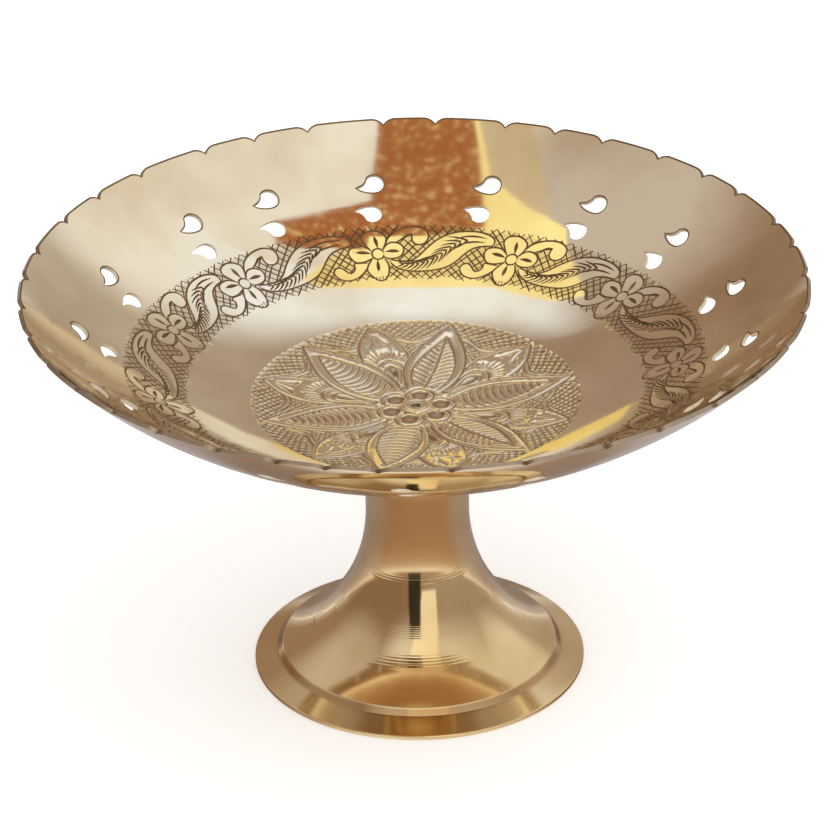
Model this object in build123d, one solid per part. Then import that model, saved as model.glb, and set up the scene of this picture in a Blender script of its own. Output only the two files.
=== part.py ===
"""Footed brass serving dish.

A spun sheet dish, scalloped and pierced, is clamped to a turned hollow foot by a headed stud,
a washer and a nut inside the foot. Millimetres, +Z up, origin at the middle of the foot's base.
"""
from build123d import *
import os
from math import asin, cos, hypot, pi, radians, sin, sqrt, tan

# Dish: one spun sheet. The three tangent arcs are radii of its inner face.
sheet = 1.05
rim_radius = 101.5
floor_arc = 245.0
knuckle_arc = 88.5
wall_arc = 136.0
floor_end_slope = 10.0
wall_start_slope = 31.2
clamp_flat_radius = 9.0

# Scalloped edge: the width of each scallop, in degrees round the rim, was cut by eye.
scallop_widths = (
    10.75, 10.5, 10.75, 10.75, 12.0, 10.0, 8.0, 11.75, 8.25, 9.5, 10.5, 8.25, 8.25,
    11.25, 8.25, 12.25, 9.0, 8.75, 12.75, 10.0, 9.5, 11.25, 8.75, 9.5, 9.0, 9.25,
    9.0, 9.0, 9.0, 10.0, 9.0, 7.0, 7.25, 10.0, 10.25, 12.0, 8.75,
)
first_notch_angle = -54.25
notch_depth = 1.75
notch_half_width = 3.4

# Piercings: pairs of drops with mirrored tails. The gaps between pairs, in degrees, vary.
pair_gaps = (
    22.0, 20.0, 22.0, 20.0, 21.0, 21.5, 20.0, 16.5, 25.0, 21.5, 22.5, 21.5, 21.5, 22.0,
    21.5, 21.0, 20.5,
)
first_pair_angle = -29.5
rim_to_outer_drops = 15.2
between_drop_rows = 7.5
inner_drop_lead = 1.1
drop_bulb = 2.6
drop_tail = 5.2
drop_tail_offset = 1.0

# Foot: a turned hollow casting, closed at the top by a crown.
foot_height = 73.4
foot_wall = 1.6
crown = 3.0
neck_radius = 13.65
neck_low = 45.0
neck_high = 50.0
lower_flare_arc = 46.4
upper_flare_arc = 60.0
shoulder_height = 5.1
shoulder_step = 1.4
shoulder_drop = 1.65
flange_width = 6.2
flange_edge = 1.0
base_land = 2.0
edge_round = 0.4
shoulder_round = 0.7
seat_land_radius = 8.5
seat_gap = 0.15

# Fastening: the stud's round head is the boss in the middle of the dish.
stud_diameter = 5.0
stud_clearance = 0.1
thread_clearance = 0.05
head_radius = 4.0
head_height = 0.75
dimple_radius = 1.7
dimple_depth = 0.5
washer_radius = 5.0
washer_thickness = 1.0
nut_across_flats = 8.0
nut_height = 4.0
stud_end_beyond_nut = 2.0

# Both rows of drops keep their distance from the rim, and the floor lies above the foot.
outer_drop_radius = rim_radius - rim_to_outer_drops
inner_drop_radius = outer_drop_radius - between_drop_rows
floor_level = foot_height + sheet
stud_bore = stud_diameter / 2 + stud_clearance

# Centres (radius, height) of the three arcs, shared by both faces of the sheet.
floor_centre = (0.0, floor_level + sqrt(floor_arc**2 - clamp_flat_radius**2))
floor_end = radians(floor_end_slope)
wall_start = radians(wall_start_slope)


def next_centre(centre, radius, new_radius, slope):
    """The centre of an arc that carries on from another at the given slope."""
    step = radius - new_radius
    return (centre[0] + step * sin(slope), centre[1] - step * cos(slope))


knuckle_centre = next_centre(floor_centre, floor_arc, knuckle_arc, floor_end)
wall_centre = next_centre(knuckle_centre, knuckle_arc, wall_arc, wall_start)
rim_slope = asin((rim_radius - wall_centre[0]) / (wall_arc + sheet))


def on_arc(centre, radius, slope):
    """The point of an arc, open upwards, where it climbs outwards at this slope."""
    return (centre[0] + radius * sin(slope), centre[1] - radius * cos(slope))


def arc_between(centre, radius, slope_a, slope_b):
    """The stretch of such an arc between two slopes."""
    middle = (slope_a + slope_b) / 2
    return ThreePointArc(*(on_arc(centre, radius, slope) for slope in (slope_a, middle, slope_b)))


def floor_slope_at(radius, level):
    """The slope of a floor arc of this radius where it leaves the given level."""
    return asin(sqrt(radius**2 - (floor_centre[1] - level) ** 2) / radius)


def dish_face(offset, level):
    """One face of the sheet from the stud's bore to the rim, as points and curves."""
    start = floor_slope_at(floor_arc + offset, level)
    flat_end = on_arc(floor_centre, floor_arc + offset, start)
    return [
        Line((stud_bore, level), flat_end),
        arc_between(floor_centre, floor_arc + offset, start, floor_end),
        arc_between(knuckle_centre, knuckle_arc + offset, floor_end, wall_start),
        arc_between(wall_centre, wall_arc + offset, wall_start, rim_slope),
    ]


def spin(curves):
    """Turn a closed outline, drawn as (radius, height), round the vertical axis."""
    return revolve(Plane.XZ * make_face(Curve() + curves), Axis.Z)


def sheet_plane(radius, angle):
    """A plane on the dish's inner face: x clockwise round the rim, y up the slope."""
    slope = asin((radius - wall_centre[0]) / wall_arc)
    height = wall_centre[1] - wall_arc * cos(slope)
    if slope < wall_start:
        slope = asin((radius - knuckle_centre[0]) / knuckle_arc)
        height = knuckle_centre[1] - knuckle_arc * cos(slope)
    turn = radians(angle)
    inwards = (-sin(slope) * cos(turn), -sin(slope) * sin(turn), cos(slope))
    clockwise = (sin(turn), -cos(turn), 0)
    return Plane((radius * cos(turn), radius * sin(turn), height), clockwise, inwards)


def punch(outline):
    """A punch of this outline, tall enough to go through the sheet from its inner face."""
    return extrude(outline, 3 * sheet, both=True)


def notch_punch():
    """A punch for the notch between two scallops: its flanks are arcs tangent to the rim."""
    shoulder = (notch_half_width**2 + notch_depth**2) / (2 * notch_depth)
    half = asin(notch_half_width / shoulder) / 2
    middle = (notch_half_width - shoulder * sin(half), shoulder * cos(half) - shoulder)
    tip = (0, -notch_depth)
    right = (notch_half_width, 0)
    left = (-notch_half_width, 0)
    clear = 2 * sheet
    sides = [
        ThreePointArc(tip, middle, right),
        ThreePointArc(tip, (-middle[0], middle[1]), left),
        Polyline(right, (notch_half_width, clear), (-notch_half_width, clear), left),
    ]
    return punch(make_face(Curve() + sides))


def drop_punch(tail_side):
    """A punch for a drop: a round bulb and a curved tail that points anticlockwise."""
    tip = (-drop_tail, tail_side * drop_tail_offset)
    belly = (0, tail_side * drop_bulb)
    far_side = (drop_bulb, 0)
    shoulder = (-drop_bulb * cos(pi / 4), -tail_side * drop_bulb * sin(pi / 4))
    belly_middle = (-drop_tail * 0.55, tail_side * drop_bulb * 0.85)
    hollow_middle = (-drop_tail * 0.56, tail_side * drop_tail_offset * 0.1)
    sides = [
        ThreePointArc(tip, belly_middle, belly),
        ThreePointArc(belly, far_side, shoulder),
        ThreePointArc(shoulder, hollow_middle, tip),
    ]
    return punch(make_face(Curve() + sides))


def angles_from(first, gaps):
    """Angles round the dish, from the first one and the gaps that follow it."""
    scale = 360 / sum(gaps)
    return [first + scale * sum(gaps[:number]) for number in range(len(gaps))]


def make_dish():
    """Spin the sheet, then punch the notches of the rim and the pairs of drops."""
    inner = dish_face(0, floor_level)
    outer = dish_face(sheet, foot_height)
    bore = Line((stud_bore, foot_height), (stud_bore, floor_level))
    edge = Line(inner[-1] @ 1, outer[-1] @ 1)
    blank = spin(inner + outer + [bore, edge])
    rim_inner_radius = rim_radius - sheet * sin(rim_slope)
    notch = notch_punch()
    outer_drop = drop_punch(-1)
    inner_drop = drop_punch(1)
    punches = []
    for angle in angles_from(first_notch_angle, scallop_widths):
        punches.append(sheet_plane(rim_inner_radius, angle) * notch)
    for angle in angles_from(first_pair_angle, pair_gaps):
        punches.append(sheet_plane(outer_drop_radius, angle) * outer_drop)
        punches.append(sheet_plane(inner_drop_radius, angle + inner_drop_lead) * inner_drop)
    return blank - punches


def flare(centre, radius, point_a, point_b):
    """A concave arc round an outside centre, bulging towards the axis."""
    middle = ((point_a[0] + point_b[0]) / 2 - centre[0], (point_a[1] + point_b[1]) / 2 - centre[1])
    reach = radius / hypot(*middle)
    bulge = (centre[0] + middle[0] * reach, centre[1] + middle[1] * reach)
    return ThreePointArc(point_a, bulge, point_b)


def flare_radius(centre, radius, height):
    """The distance from the axis of a flare at this height."""
    return centre[0] - sqrt(radius**2 - (height - centre[1]) ** 2)


def seat_cutter():
    """What lies above the foot's seat: a flat clamping land, then the dish's own curve."""
    under_dish = floor_arc + sheet + seat_gap
    reach = 3 * neck_radius
    top = foot_height + reach
    land_slope = asin(seat_land_radius / under_dish)
    reach_slope = asin(reach / under_dish)
    land_end = (seat_land_radius, foot_height)
    curve = arc_between(floor_centre, under_dish, land_slope, reach_slope)
    rest = Polyline(curve @ 1, (reach, top), (0, top), (0, foot_height), land_end, curve @ 0)
    return spin([curve, rest])


def make_foot():
    """Turn the foot: flange, shoulder, lower flare, neck, upper flare and closed crown."""
    lower = (neck_radius + lower_flare_arc, neck_low)
    upper = (neck_radius + upper_flare_arc, neck_high)
    shoulder_radius = flare_radius(lower, lower_flare_arc, shoulder_height)
    crease_radius = shoulder_radius + shoulder_step
    foot_radius = crease_radius + flange_width
    blank_top = foot_height + crown
    roof = foot_height - crown
    bore_radius = neck_radius - foot_wall
    upper_inner = upper_flare_arc + foot_wall

    shoulder = (shoulder_radius, shoulder_height)
    crease = (crease_radius, shoulder_height - shoulder_drop)
    edge_top = (foot_radius, flange_edge)
    neck_bottom = (neck_radius, neck_low)
    neck_top = (neck_radius, neck_high)
    blank_edge = (flare_radius(upper, upper_flare_arc, blank_top), blank_top)
    roof_edge = (flare_radius(upper, upper_inner, roof), roof)
    bore_top = (bore_radius, neck_high)
    bore_bottom = (bore_radius, neck_low)
    growth = 1 + foot_wall / lower_flare_arc
    inner_shoulder = tuple(c + (s - c) * growth for c, s in zip(lower, shoulder))
    base_inner = (foot_radius - base_land, 0)

    outline = [
        Polyline(inner_shoulder, base_inner, (foot_radius, 0), edge_top, crease, shoulder),
        flare(lower, lower_flare_arc, shoulder, neck_bottom),
        Line(neck_bottom, neck_top),
        flare(upper, upper_flare_arc, neck_top, blank_edge),
        Polyline(blank_edge, (stud_bore, blank_top), (stud_bore, roof), roof_edge),
        flare(upper, upper_inner, roof_edge, bore_top),
        Line(bore_top, bore_bottom),
        flare(lower, lower_flare_arc + foot_wall, bore_bottom, inner_shoulder),
    ]
    section = make_face(Curve() + outline)
    rounds = ((edge_top, edge_round), (crease, shoulder_round), (shoulder, shoulder_round))
    for corner, radius in rounds:
        nearest = section.vertices().sort_by_distance(Vertex(*corner, 0))[0]
        section = fillet(nearest, radius)
    return revolve(Plane.XZ * section, Axis.Z) - seat_cutter()


def make_centre_stud():
    """A plain shank under a low domed head with a punched dimple in its middle."""
    shank_radius = stud_diameter / 2
    shank_end = foot_height - crown - washer_thickness - nut_height - stud_end_beyond_nut
    top = floor_level + head_height
    dimple_floor = (0, top - dimple_depth)
    dimple_edge = (dimple_radius, top)
    dimple_middle = (dimple_radius * sin(pi / 4), top - dimple_depth * cos(pi / 4))
    head_edge = (head_radius, floor_level)
    crown_width = head_radius - dimple_radius
    dome = (head_radius - crown_width * 0.2, top - head_height * 0.3)
    outline = [
        ThreePointArc(dimple_floor, dimple_middle, dimple_edge),
        ThreePointArc(dimple_edge, dome, head_edge),
        Polyline(
            head_edge,
            (shank_radius, floor_level),
            (shank_radius, shank_end),
            (0, shank_end),
            dimple_floor,
        ),
    ]
    return spin(outline)


def make_washer():
    """A flat washer against the roof of the foot."""
    bottom = foot_height - crown - washer_thickness
    ring = Circle(washer_radius) - Circle(stud_bore)
    return extrude(Plane.XY.offset(bottom) * ring, washer_thickness)


def make_hex_nut():
    """A hexagon nut below the washer, its corners turned off top and bottom at 30 degrees."""
    middle = foot_height - crown - washer_thickness - nut_height / 2
    flat_radius = nut_across_flats / 2
    corner_radius = flat_radius / cos(pi / 6)
    corner_width = corner_radius - flat_radius
    bore = Circle(stud_diameter / 2 + thread_clearance)
    hexagon = RegularPolygon(flat_radius, 6, major_radius=False) - bore
    prism = extrude(hexagon, nut_height / 2, both=True)
    disc = Cylinder(corner_radius, nut_height)
    ends = disc.edges().filter_by(GeomType.CIRCLE)
    turned = chamfer(ends, corner_width * tan(pi / 6), corner_width)
    return Pos(0, 0, middle) * (prism & turned)


os.makedirs("parts", exist_ok=True)
pieces = {
    "dish": make_dish(),
    "foot": make_foot(),
    "centre_stud": make_centre_stud(),
    "washer": make_washer(),
    "hex_nut": make_hex_nut(),
}
for name, shape in pieces.items():
    export_step(shape, f"parts/{name}.step")
    size = shape.bounding_box().size
    print(name, round(size.X, 2), round(size.Y, 2), round(size.Z, 2), round(shape.volume))
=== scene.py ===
import math
import random

import bpy
import numpy as np
from mathutils import Matrix, Vector
from mathutils.geometry import delaunay_2d_cdt


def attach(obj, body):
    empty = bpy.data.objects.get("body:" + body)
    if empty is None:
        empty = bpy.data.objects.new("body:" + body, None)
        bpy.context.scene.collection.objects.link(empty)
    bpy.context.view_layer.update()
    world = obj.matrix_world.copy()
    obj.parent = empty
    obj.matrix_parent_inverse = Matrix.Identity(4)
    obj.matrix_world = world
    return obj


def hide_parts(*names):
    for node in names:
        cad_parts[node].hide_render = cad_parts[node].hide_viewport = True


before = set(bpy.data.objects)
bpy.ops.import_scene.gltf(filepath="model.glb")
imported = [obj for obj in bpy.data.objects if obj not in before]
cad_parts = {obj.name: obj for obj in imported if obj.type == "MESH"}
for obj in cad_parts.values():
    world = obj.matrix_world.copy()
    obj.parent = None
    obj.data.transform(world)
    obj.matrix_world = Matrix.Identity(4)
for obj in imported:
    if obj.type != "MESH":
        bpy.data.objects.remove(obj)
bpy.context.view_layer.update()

# ---------------------------------------------------------------------------
# The dish: one disc of brass sheet about 1 mm thick, spun over a former, then scalloped and
# pierced with hand punches and chased from above with a floral band and a medallion. A stud
# through its middle holds it on the foot. Lengths are millimetres.
# ---------------------------------------------------------------------------
MM = 0.001
sheet = 1.05
rim_radius = 101.5
floor_level = 74.45
floor_arc = 245.0
knuckle_arc = 88.5
wall_arc = 136.0
floor_end = math.radians(10.0)
wall_start = math.radians(31.2)
clamp_flat_radius = 9.0
stud_bore = 2.6

floor_centre = (0.0, floor_level + math.sqrt(floor_arc**2 - clamp_flat_radius**2))
knuckle_centre = (
    floor_centre[0] + (floor_arc - knuckle_arc) * math.sin(floor_end),
    floor_centre[1] - (floor_arc - knuckle_arc) * math.cos(floor_end),
)
wall_centre = (
    knuckle_centre[0] + (knuckle_arc - wall_arc) * math.sin(wall_start),
    knuckle_centre[1] - (knuckle_arc - wall_arc) * math.cos(wall_start),
)
knuckle_from = floor_arc * math.sin(floor_end)
wall_from = knuckle_centre[0] + knuckle_arc * math.sin(wall_start)
rim_slope = math.asin((rim_radius - wall_centre[0]) / (wall_arc + sheet))
rim_inner_radius = rim_radius - sheet * math.sin(rim_slope)


def slope_at(radius):
    """The slope of the dish's inner face at these distances from its axis."""
    radius = np.asarray(radius, float)
    on_floor = np.where(radius > clamp_flat_radius, radius / floor_arc, 0.0)
    on_knuckle = (radius - knuckle_centre[0]) / knuckle_arc
    on_wall = (radius - wall_centre[0]) / wall_arc
    sine = np.where(radius < knuckle_from, on_floor, on_knuckle)
    return np.arcsin(np.clip(np.where(radius < wall_from, sine, on_wall), -1, 1))


def height_at(radius):
    """The height of the dish's inner face at these distances from its axis."""
    radius = np.asarray(radius, float)
    slope = slope_at(radius)
    on_floor = floor_centre[1] - floor_arc * np.cos(slope)
    on_floor = np.where(radius <= clamp_flat_radius, floor_level, on_floor)
    on_knuckle = knuckle_centre[1] - knuckle_arc * np.cos(slope)
    on_wall = wall_centre[1] - wall_arc * np.cos(slope)
    lower = np.where(radius < knuckle_from, on_floor, on_knuckle)
    return np.where(radius < wall_from, lower, on_wall)


def polar(radius, degrees):
    """A point of the dish seen from above."""
    turn = math.radians(degrees)
    return np.array((radius * math.cos(turn), radius * math.sin(turn)))


# The rim's outline, seen from above: a circle with a notch between each two scallops.
scallop_widths = (
    10.75, 10.5, 10.75, 10.75, 12.0, 10.0, 8.0, 11.75, 8.25, 9.5, 10.5, 8.25, 8.25,
    11.25, 8.25, 12.25, 9.0, 8.75, 12.75, 10.0, 9.5, 11.25, 8.75, 9.5, 9.0, 9.25,
    9.0, 9.0, 9.0, 10.0, 9.0, 7.0, 7.25, 10.0, 10.25, 12.0, 8.75,
)
first_notch_angle = -54.25
notch_depth = 1.75
notch_half_width = 3.4
notch_shoulder = (notch_half_width**2 + notch_depth**2) / (2 * notch_depth)
notch_steps = 9
plain_steps = 6


def rim_outline():
    """The scalloped edge of the inner face, anticlockwise."""
    points = []
    for number, width in enumerate(scallop_widths):
        notch = first_notch_angle + sum(scallop_widths[:number])
        reach = math.degrees(notch_half_width / rim_inner_radius)
        for step in range(-notch_steps, notch_steps + 1):
            across = notch_half_width * step / notch_steps
            sag = math.sqrt(notch_shoulder**2 - (notch_half_width - abs(across)) ** 2)
            dip = (sag - notch_shoulder) * math.cos(rim_slope)
            points.append(polar(rim_inner_radius + dip, notch + reach * step / notch_steps))
        plain = width - 2 * reach
        for step in range(1, plain_steps):
            points.append(polar(rim_inner_radius, notch + reach + plain * step / plain_steps))
    return np.array(points)


# The pierced drops, in pairs with mirrored tails.
pair_gaps = (
    22.0, 20.0, 22.0, 20.0, 21.0, 21.5, 20.0, 16.5, 25.0, 21.5, 22.5, 21.5, 21.5, 22.0,
    21.5, 21.0, 20.5,
)
first_pair_angle = -29.5
outer_drop_radius = 86.3
inner_drop_radius = 78.8
inner_drop_lead = 1.1
drop_bulb = 2.6
drop_tail = 5.2
drop_tail_offset = 1.0


def arc_through(start, middle, end, steps):
    """Points along the arc through three points, without the last one."""
    start, middle, end = (np.array(point, float) for point in (start, middle, end))
    chord_a, chord_b = middle - start, end - start
    cross = 2 * (chord_a[0] * chord_b[1] - chord_a[1] * chord_b[0])
    square_a, square_b = chord_a @ chord_a, chord_b @ chord_b
    centre = start + np.array((
        (chord_b[1] * square_a - chord_a[1] * square_b) / cross,
        (chord_a[0] * square_b - chord_b[0] * square_a) / cross,
    ))
    turns = [math.atan2(*(point - centre)[::-1]) for point in (start, middle, end)]
    way = 1 if cross > 0 else -1
    sweep = ((turns[2] - turns[0]) * way) % (2 * math.pi) * way
    radius = math.hypot(*(start - centre))
    angles = [turns[0] + sweep * step / steps for step in range(steps)]
    return [centre + radius * np.array((math.cos(a), math.sin(a))) for a in angles]


def drop_outline(radius, degrees, tail_side):
    """A drop's edge on the inner face: a round bulb and a curved tail, anticlockwise of it."""
    tip = (-drop_tail, tail_side * drop_tail_offset)
    belly = (0, tail_side * drop_bulb)
    half = math.sqrt(0.5)
    shoulder = (-drop_bulb * half, -tail_side * drop_bulb * half)
    local = arc_through(tip, (-drop_tail * 0.55, tail_side * drop_bulb * 0.85), belly, 5)
    local += arc_through(belly, (drop_bulb, 0), shoulder, 12)
    hollow = (-drop_tail * 0.56, tail_side * drop_tail_offset * 0.1)
    local += arc_through(shoulder, hollow, tip, 5)
    outwards = polar(1, degrees)
    clockwise = np.array((outwards[1], -outwards[0]))
    lean = math.cos(float(slope_at(radius)))
    return np.array([outwards * (radius + up * lean) + clockwise * across for across, up in local])


bore_steps = 32
bore_outline = np.array([polar(stud_bore, 360 * step / bore_steps) for step in range(bore_steps)])
drop_outlines = []
pair_angle = first_pair_angle
for gap in pair_gaps:
    drop_outlines.append(drop_outline(outer_drop_radius, pair_angle, -1))
    drop_outlines.append(drop_outline(inner_drop_radius, pair_angle + inner_drop_lead, 1))
    pair_angle += gap * 360 / sum(pair_gaps)
hole_outlines = [bore_outline] + drop_outlines


# The chaser's strokes. Each is a line on the dish seen from above, with a width and a depth.
# A cut is a sharp V that keeps its dark polish residue; a push is a broad rounded furrow.
strokes = []
hand = random.Random(7)
cut_width = 0.5
cut_depth = 0.16
push_width = 0.58
push_depth = 0.28
sample_gap = 0.3


def spline(points, closed=False, step=0.8):
    """A smooth line through a few points, as points about one step apart."""
    points = np.array(points, float)
    if closed:
        ring = np.vstack((points[-1:], points, points[:2]))
    else:
        ring = np.vstack((2 * points[0] - points[1], points, 2 * points[-1] - points[-2]))
    line = []
    for a, b, c, d in zip(ring, ring[1:], ring[2:], ring[3:]):
        count = max(2, int(math.ceil(np.linalg.norm(c - b) / step)))
        for t in np.arange(count) / count:
            line.append(
                0.5 * (2 * b + (c - a) * t + (2 * a - 5 * b + 4 * c - d) * t**2
                       + (3 * b - a - 3 * c + d) * t**3)
            )
    if not closed:
        line.append(points[-1])
    return np.array(line)


def inside(points, outline):
    """Which points lie inside a closed outline."""
    x, y = points[:, 0:1], points[:, 1:2]
    ax, ay = outline[:, 0], outline[:, 1]
    bx, by = np.roll(ax, -1), np.roll(ay, -1)
    crosses = (ay > y) != (by > y)
    at = ax + (y - ay) * (bx - ax) / np.where(by == ay, 1e-9, by - ay)
    return (np.sum(crosses & (x < at), axis=1) % 2).astype(bool)


def inside_many(points, outline):
    """The same as inside, worked in parts to spare memory."""
    return np.concatenate([inside(part, outline) for part in np.array_split(points, 60)])


def covered(points, covers):
    """Which points lie under any of these closed outlines."""
    hidden = np.zeros(len(points), bool)
    for cover in covers:
        low, high = cover.min(0), cover.max(0)
        near = np.where(~hidden & np.all((points >= low) & (points <= high), axis=1))[0]
        if len(near):
            hidden[near] = inside(points[near], cover)
    return hidden


def visible_runs(line, covers, step, shy=0):
    """The stretches of a line that no cover hides, with points about one step apart. A shy line
    stops that many samples short of each cover."""
    lengths = np.concatenate(([0], np.cumsum(np.linalg.norm(np.diff(line, axis=0), axis=1))))
    count = max(3, int(lengths[-1] / sample_gap))
    at = np.linspace(0, lengths[-1], count)
    fine = np.stack([np.interp(at, lengths, line[:, k]) for k in (0, 1)], axis=1)
    seen = ~covered(fine, covers)
    runs = []
    start = None
    for index in range(count + 1):
        shown = index < count and seen[index]
        if shown and start is None:
            start = index
        elif not shown and start is not None:
            first = start + (shy if start else 0)
            last = index - 1 - (shy if index < count else 0)
            if last - first > 1:
                pieces = max(2, int(round((at[last] - at[first]) / step)) + 1)
                pick = np.linspace(first, last, pieces).round().astype(int)
                runs.append(fine[pick])
            start = None
    return runs


def stroke(line, width, depth, push=False, covers=(), closed=False, ends="pointed", step=0.9,
           shy=0):
    """Cut a line into the dish, wherever no cover lies over it. It thins out at pointed ends,
    starts wide as a wedge, swells midway as a spindle or keeps its width as a blunt line."""
    line = np.asarray(line, float)
    if closed:
        line = np.vstack((line, line[:1]))
    for run in visible_runs(line, covers, step, shy):
        along = np.linspace(0, 1, len(run))
        length = np.sum(np.linalg.norm(np.diff(run, axis=0), axis=1))
        if ends == "wedge":
            half = np.sqrt(1 - along * 0.97)
        elif ends == "spindle":
            half = 0.12 + 0.88 * np.sin(math.pi * along**1.3)
        elif ends == "blunt":
            half = np.ones(len(run))
            half[[0, -1]] = 0.65
        elif closed and len(run) == len(line):
            half = np.ones(len(run))
        else:
            fade = max(length / 4, 0.1)
            half = np.sqrt(np.clip(np.minimum(along, 1 - along) * length / min(fade, 1.2), 0.03, 1))
        strokes.append((run, half * width / 2, depth, push, ends != "blunt"))


# The chased band: flowers joined by feathered leaves on a cross-hatched ground. A unit is drawn
# in millimetres, clockwise and outwards from its flower's middle.
band_radius = 67.5
band_inner = 58.8
band_outer = 75.5
flower_angles = (195.0, 160.2, 132.35, 98.25, 66.9, 35.0, -0.75, -33.6, -66.45, -99.3, -132.15)
leaf_gap = 31.35

outer_petal = ((-1.5, 1.1), (-3.0, 3.1), (-3.7, 4.7), (-3.1, 6.0), (-1.6, 6.7), (0.2, 6.7),
               (1.9, 5.8), (2.7, 4.6), (2.3, 2.8), (1.2, 1.3))
left_petal = ((-1.6, 0.9), (-3.0, 2.3), (-4.3, 2.8), (-6.1, 2.7), (-7.4, 2.1), (-8.0, 0.9),
              (-7.5, -0.8), (-6.4, -2.0), (-4.3, -2.1), (-2.4, -1.5), (-1.5, -0.8))
right_petal = ((1.6, 1.0), (2.3, 2.3), (3.7, 3.2), (5.5, 3.0), (6.8, 2.1), (7.1, 0.7),
               (6.5, -0.7), (5.1, -1.5), (3.0, -1.6), (1.7, -1.0))
inner_petal = ((-1.4, -1.2), (-2.9, -2.7), (-3.9, -4.5), (-3.5, -5.9), (-2.2, -7.6), (-0.3, -8.7),
               (1.5, -7.8), (2.4, -5.8), (2.5, -3.4), (1.3, -1.3))
petal_slits = (((0.25, 1.7), (-0.35, 5.2)), ((-1.8, 0.3), (-5.9, 1.0)), ((2.0, 0.6), (5.9, 0.5)),
               ((-0.4, -1.8), (-0.6, -5.4)))
bud = ((2.7, 3.2), (3.7, 5.1), (6.0, 6.6), (8.8, 7.4), (11.3, 7.3), (13.2, 6.2), (13.6, 4.3),
       (12.6, 2.7), (10.9, 2.3), (9.5, 3.1), (9.3, 4.4), (9.4, 5.2), (8.3, 5.0), (7.2, 4.3),
       (5.6, 3.4), (4.0, 3.0))
bud_slit = ((6.6, 4.1), (8.0, 4.9), (9.7, 5.4))
hook = ((-3.2, -2.6), (-3.7, -3.9), (-5.2, -5.6), (-7.4, -7.0), (-9.7, -7.5), (-12.0, -7.0),
        (-13.5, -5.6), (-13.8, -4.1), (-12.8, -3.0), (-11.4, -2.9), (-10.3, -4.0), (-9.2, -5.2),
        (-7.8, -4.6), (-7.1, -3.2), (-7.4, -2.2), (-5.4, -2.3))
leaf_lower = ((3.0, -2.4), (4.4, -4.3), (6.6, -5.4), (9.6, -5.9), (13.7, -5.8), (17.3, -5.1),
              (20.0, -3.9), (22.0, -2.1), (23.8, 0.1), (25.6, 1.8), (28.1, 2.7), (30.6, 3.1))
leaf_upper = ((30.8, 4.7), (29.6, 5.8), (26.3, 6.6), (21.8, 6.4), (18.6, 5.4), (15.9, 3.8),
              (13.2, 1.2), (11.0, -1.2), (8.6, -2.5), (5.4, -2.5), (3.6, -2.0))
leaf_rib = ((5.2, -3.4), (9.4, -3.7), (13.4, -2.8), (16.4, -1.1), (18.8, 1.1), (21.2, 3.0),
            (24.2, 4.1), (28.2, 4.4))
rib_step = 0.1
# Barbs along a leaf's rib: the first one's place on it, the share of its length that they
# cover and the places between them; and for each side how far they reach back and aside.
first_barb, barbed_share, barb_gap = 14, 0.84, 15
barb_reaches = ((1, 4.2, 1.7), (-1, 3.0, 1.5))
barb_depth = 0.22
leaf_streaks = (
    ((20.4, 1.4), (22.6, 2.9), (25.4, 3.7), (28.6, 3.9)),
    ((19.6, 3.4), (22.2, 4.8), (25.4, 5.3), (28.8, 5.0)),
    ((5.0, -3.1), (8.0, -3.4), (10.6, -3.0), (12.6, -2.0)),
)


def band_point(flower, stretch, point):
    """A unit's point on the dish: stretched clockwise to the next flower."""
    across = point[0] * (stretch if point[0] > 8 else 1 + (stretch - 1) * max(point[0], 0) / 8)
    return polar(band_radius + point[1], flower - math.degrees(across / band_radius))


def band_line(flower, stretch, points, closed=False, step=0.7):
    return np.array([
        band_point(flower, stretch, point) for point in spline(points, closed, step)
    ])


def disc(centre, radius, steps=18):
    """A round outline drawn in a unit."""
    turns = [2 * math.pi * step / steps for step in range(steps)]
    return [(centre[0] + radius * math.cos(t), centre[1] + radius * math.sin(t)) for t in turns]


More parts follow.
